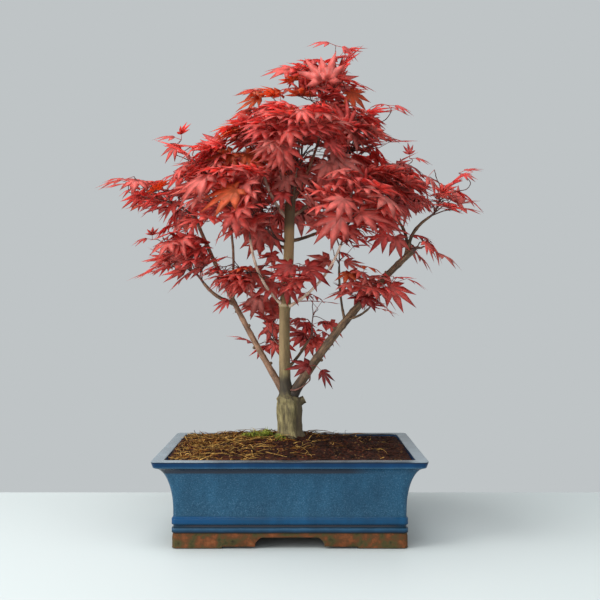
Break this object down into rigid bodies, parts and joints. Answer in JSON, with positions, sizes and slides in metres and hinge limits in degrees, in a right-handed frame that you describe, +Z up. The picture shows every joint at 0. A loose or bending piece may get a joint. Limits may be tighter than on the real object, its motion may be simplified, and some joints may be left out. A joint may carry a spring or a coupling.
{
  "type": "japanese maple bonsai in a glazed pot",
  "caption": "Small red-leaved maple tree with a straight trunk and slender spreading boughs, growing in a rectangular blue glazed ceramic pot on low cloud-shaped feet.",
  "frame": {"origin": "bottom centre of the whole plant's box: on the plane that the pot's feet stand on, under the middle of the crown's spread", "axes": "+Z up along the trunk, +X to the right along the pot's long side seen from the front, and the front of the pot faces -Y"},
  "size_m": [0.405, 0.2618, 0.5055],
  "materials": {
    "glaze": "gloss",
    "soil": "matte",
    "trunk_bark": "matte",
    "tan_bark": "matte",
    "pale_bark": "matte",
    "brown_bark": "matte",
    "leaves": "satin"
  },
  "bodies": {
    "root": {"back_branch": "brown_bark", "back_heart": "leaves", "back_left_branch": "brown_bark", "back_right_branch": "brown_bark", "crown_heart": "leaves", "crown_tip": "leaves", "fork_leaves": "leaves", "left_back": "leaves", "left_bough": "tan_bark", "left_front": "leaves", "left_front_branch": "tan_bark", "left_heart": "leaves", "left_inner_branch": "tan_bark", "left_low": "leaves", "left_low_branch": "tan_bark", "left_shoulder": "leaves", "left_wing": "leaves", "low_back_branch": "brown_bark", "low_back_left": "leaves", "low_back_right": "leaves", "low_left": "leaves", "low_middle": "leaves", "low_right": "leaves", "low_right_branch": "brown_bark", "mid_left_branch": "pale_bark", "mid_right_branch": "pale_bark", "pot": "glaze", "right_back": "leaves", "right_bough": "brown_bark", "right_end": "leaves", "right_front": "leaves", "right_inner_branch": "brown_bark", "right_pair": "leaves", "right_shoulder": "leaves", "right_shoulder_branch": "brown_bark", "right_wing": "leaves", "right_wing_branch": "brown_bark", "soil": "soil", "top_back_branch": "brown_bark", "top_front_branch": "brown_bark", "top_leader": "brown_bark", "top_left_branch": "brown_bark", "top_right_branch": "brown_bark", "trunk": "trunk_bark", "upper_back": "leaves", "upper_front": "leaves", "upper_left": "leaves", "upper_right": "leaves"}
  },
  "joints": []
}
